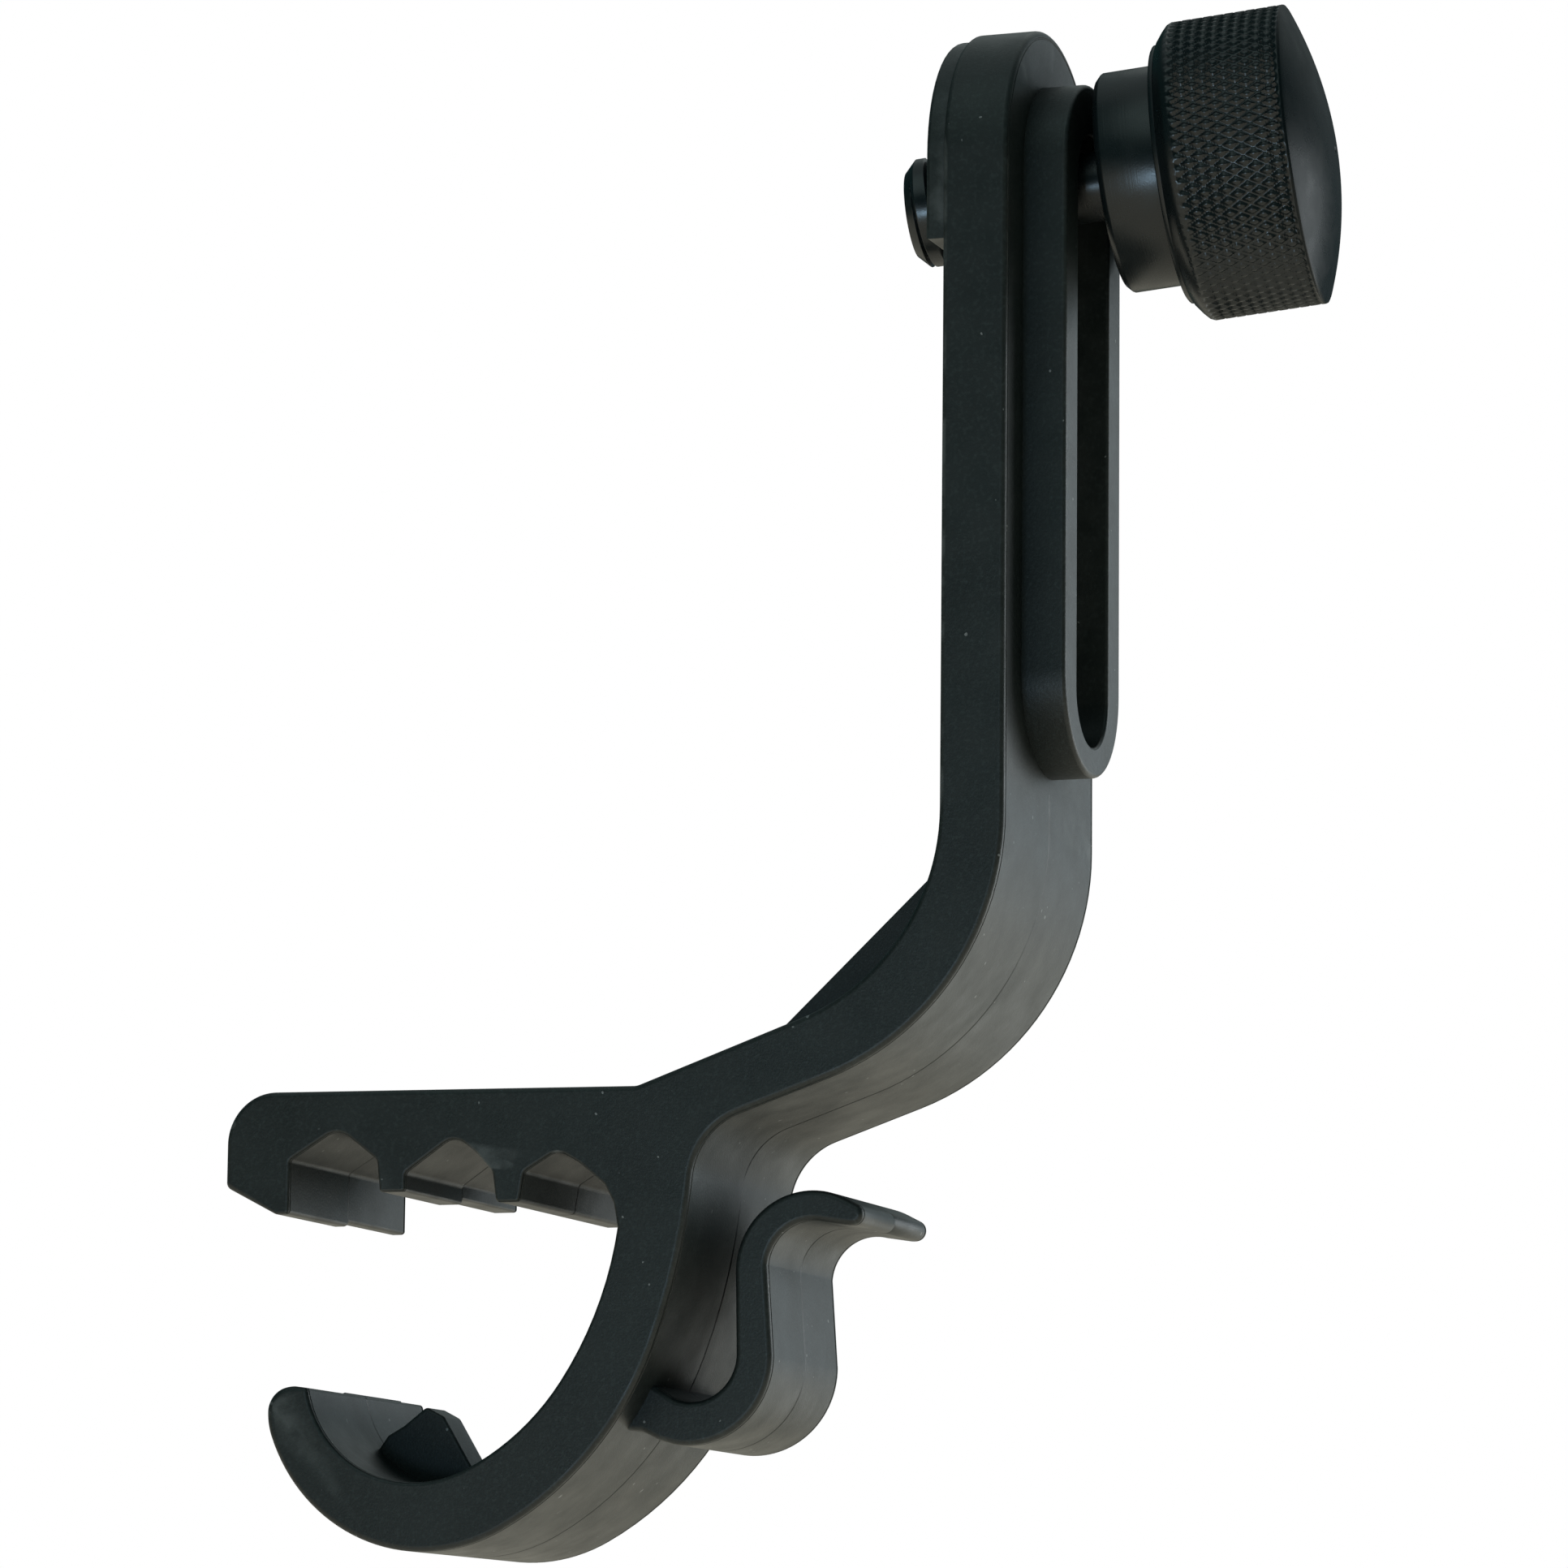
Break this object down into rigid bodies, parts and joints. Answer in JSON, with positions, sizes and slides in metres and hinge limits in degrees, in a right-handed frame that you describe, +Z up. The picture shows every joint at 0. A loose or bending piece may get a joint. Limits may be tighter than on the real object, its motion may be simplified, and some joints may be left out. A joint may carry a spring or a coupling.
{
  "type": "drum rim microphone clamp",
  "caption": "Drum-rim microphone clamp: a slotted, bent plastic arm with a notched jaw and a C-shaped spring hook with a finger lever, and a knurled thumbscrew captive in the slot.",
  "frame": {"origin": "crown of the jaw's front notch at mid-width, where the bead of the drum's rim seats", "axes": "+Z up along the slotted arm, +X from the jaw's toe towards the thumbscrew's knob, Y across the clamp's width"},
  "size_m": [0.0945, 0.0284, 0.1317],
  "materials": {
    "moulding": "fine moulded texture, satin sheen",
    "black_metal": "black satin, diamond knurl on the knob's rim"
  },
  "bodies": {
    "arm": {"clip_arm": "moulding"},
    "hook": {"spring_hook": "moulding"},
    "lever": {"release_lever": "moulding"},
    "stud": {"threaded_stud": "black_metal"},
    "knob": {"thumb_knob": "black_metal"}
  },
  "joints": [
    {"name": "hook_flex", "type": "hinge", "parent": "arm", "child": "hook", "pos_m": [0.02881, 0, -0.0078], "axis": [0, -1, 0], "range_deg": [0, 10], "stiffness_Nm_per_rad": 3},
    {"name": "lever_flex", "type": "hinge", "parent": "hook", "child": "lever", "pos_m": [0.02841, 0, -0.02378], "axis": [0, -1, 0], "range_deg": [0, 6], "stiffness_Nm_per_rad": 1},
    {"name": "stud_slide", "type": "slide", "parent": "arm", "child": "stud", "axis": [0, 0, 1], "range_m": [-0.043, 0.0003]},
    {"name": "knob_spin", "type": "hinge", "parent": "stud", "child": "knob", "pos_m": [0.05885, 0, 0.08081], "axis": [0.9872, 0.1142, 0.1115], "continuous": true}
  ],
  "couplings": [
    {"joint": "lever_flex", "follows": "hook_flex", "ratio": 0.6}
  ]
}
